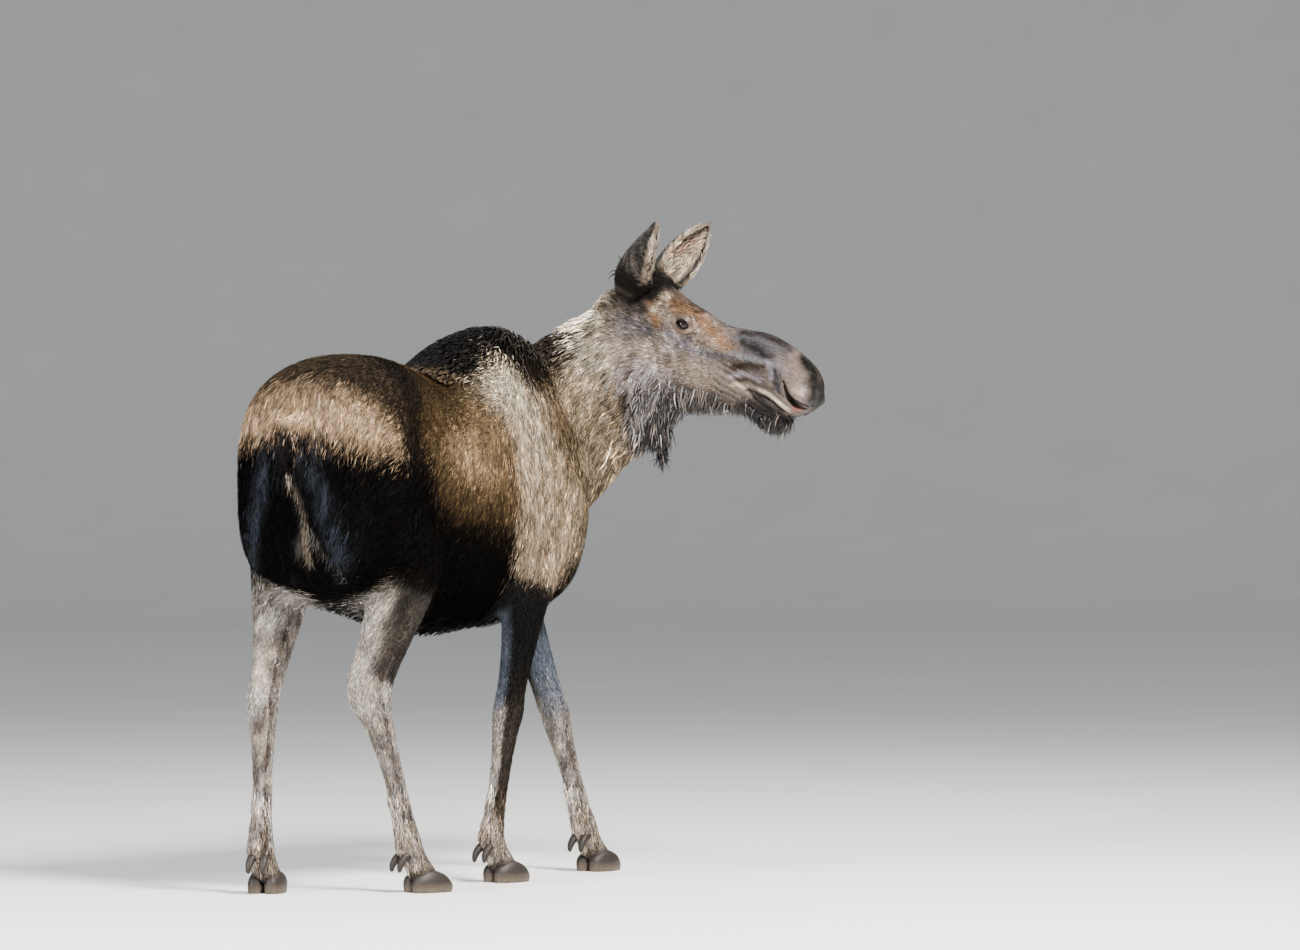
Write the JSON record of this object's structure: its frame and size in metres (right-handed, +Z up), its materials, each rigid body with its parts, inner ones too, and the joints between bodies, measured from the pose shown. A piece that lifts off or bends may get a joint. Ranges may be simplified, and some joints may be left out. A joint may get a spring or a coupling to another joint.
{
  "type": "moose",
  "caption": "Life-size cow moose without antlers, standing in mid-stride with the head turned to the right.",
  "frame": {"origin": "on the ground, at the middle of the animal's outline seen from above", "axes": "+X the way the trunk faces, +Y the animal's left, +Z up"},
  "size_m": [1.8157, 1.269, 2.1942],
  "materials": {
    "coat": "short dense hair, near black on rump, hump and belly, grizzled tan on the flanks, silver-grey on the legs",
    "ear_fur": "short dark hair behind, long cream hair inside the cup",
    "horn": "smooth dark hoof horn",
    "eye": "wet, dark brown"
  },
  "bodies": {
    "root": {"torso": "coat", "tail": "coat", "neck": "coat", "head": "coat", "bell": "coat", "ear_left": "ear_fur", "ear_right": "ear_fur", "hind_left_gaskin": "coat", "hind_left_cannon": "coat", "hind_left_pastern": "coat", "hind_left_dewclaw_left": "horn", "hind_left_dewclaw_right": "horn", "hind_right_gaskin": "coat", "hind_right_cannon": "coat", "hind_right_pastern": "coat", "hind_right_dewclaw_left": "horn", "hind_right_dewclaw_right": "horn", "fore_left_forearm": "coat", "fore_left_cannon": "coat", "fore_left_pastern": "coat", "fore_left_dewclaw_left": "horn", "fore_left_dewclaw_right": "horn", "fore_right_forearm": "coat", "fore_right_cannon": "coat", "fore_right_pastern": "coat", "fore_right_dewclaw_left": "horn", "fore_right_dewclaw_right": "horn", "hind_left_claw_left": "horn", "hind_left_claw_right": "horn", "hind_right_claw_left": "horn", "hind_right_claw_right": "horn", "fore_left_claw_left": "horn", "fore_left_claw_right": "horn", "fore_right_claw_left": "horn", "fore_right_claw_right": "horn", "eye_left": "eye", "eye_right": "eye"}
  },
  "joints": []
}
